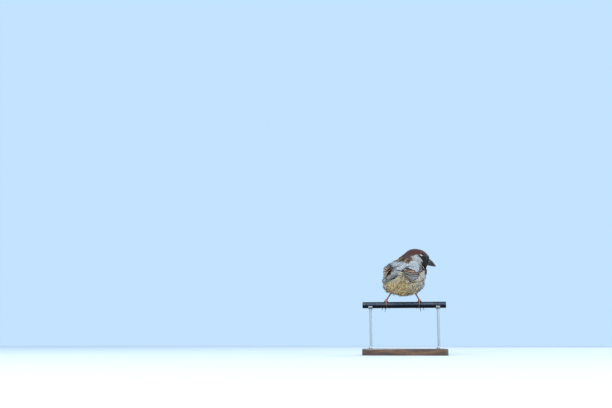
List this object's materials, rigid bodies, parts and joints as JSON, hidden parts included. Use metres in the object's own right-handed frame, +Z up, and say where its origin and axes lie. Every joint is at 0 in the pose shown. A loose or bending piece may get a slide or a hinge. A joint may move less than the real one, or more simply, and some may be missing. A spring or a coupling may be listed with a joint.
{
  "type": "house sparrow model",
  "caption": "Life-size still model of a male house sparrow, head turned over its right side, gripping a short cut of black cable held up by a small wooden stand.",
  "frame": {"origin": "middle of the underside of the stand's flat base, straight below the middle of the cable", "axes": "+Z up; +X to the bird's right, along the cable; +Y the way the bird's body looks, turned 15 degrees towards +X; the tail points along -Y"},
  "size_m": [0.104, 0.1291, 0.1364],
  "materials": {
    "crown": "matte",
    "neck": "matte",
    "trunk": "matte",
    "wing": "matte",
    "tail": "matte",
    "bill": "satin",
    "eye": "polished",
    "leg": "satin",
    "claw": "satin",
    "cable": "satin",
    "plinth": "satin",
    "rod": "satin"
  },
  "bodies": {
    "root": {"bill_lower": "bill", "bill_upper": "bill", "claw_left_hind": "claw", "claw_left_inner": "claw", "claw_left_middle": "claw", "claw_left_outer": "claw", "claw_right_hind": "claw", "claw_right_inner": "claw", "claw_right_middle": "claw", "claw_right_outer": "claw", "eye_left": "eye", "eye_right": "eye", "foot_left": "leg", "foot_right": "leg", "head": "crown", "neck": "neck", "perch_cable": "cable", "shank_left": "leg", "shank_right": "leg", "stand_base": "plinth", "stand_rod_left": "rod", "stand_rod_right": "rod", "tail": "tail", "thigh_left": "trunk", "thigh_right": "trunk", "trunk": "trunk", "wing_left_coverts": "wing", "wing_left_primaries": "wing", "wing_left_secondaries": "wing", "wing_right_coverts": "wing", "wing_right_primaries": "wing", "wing_right_secondaries": "wing"}
  },
  "joints": []
}
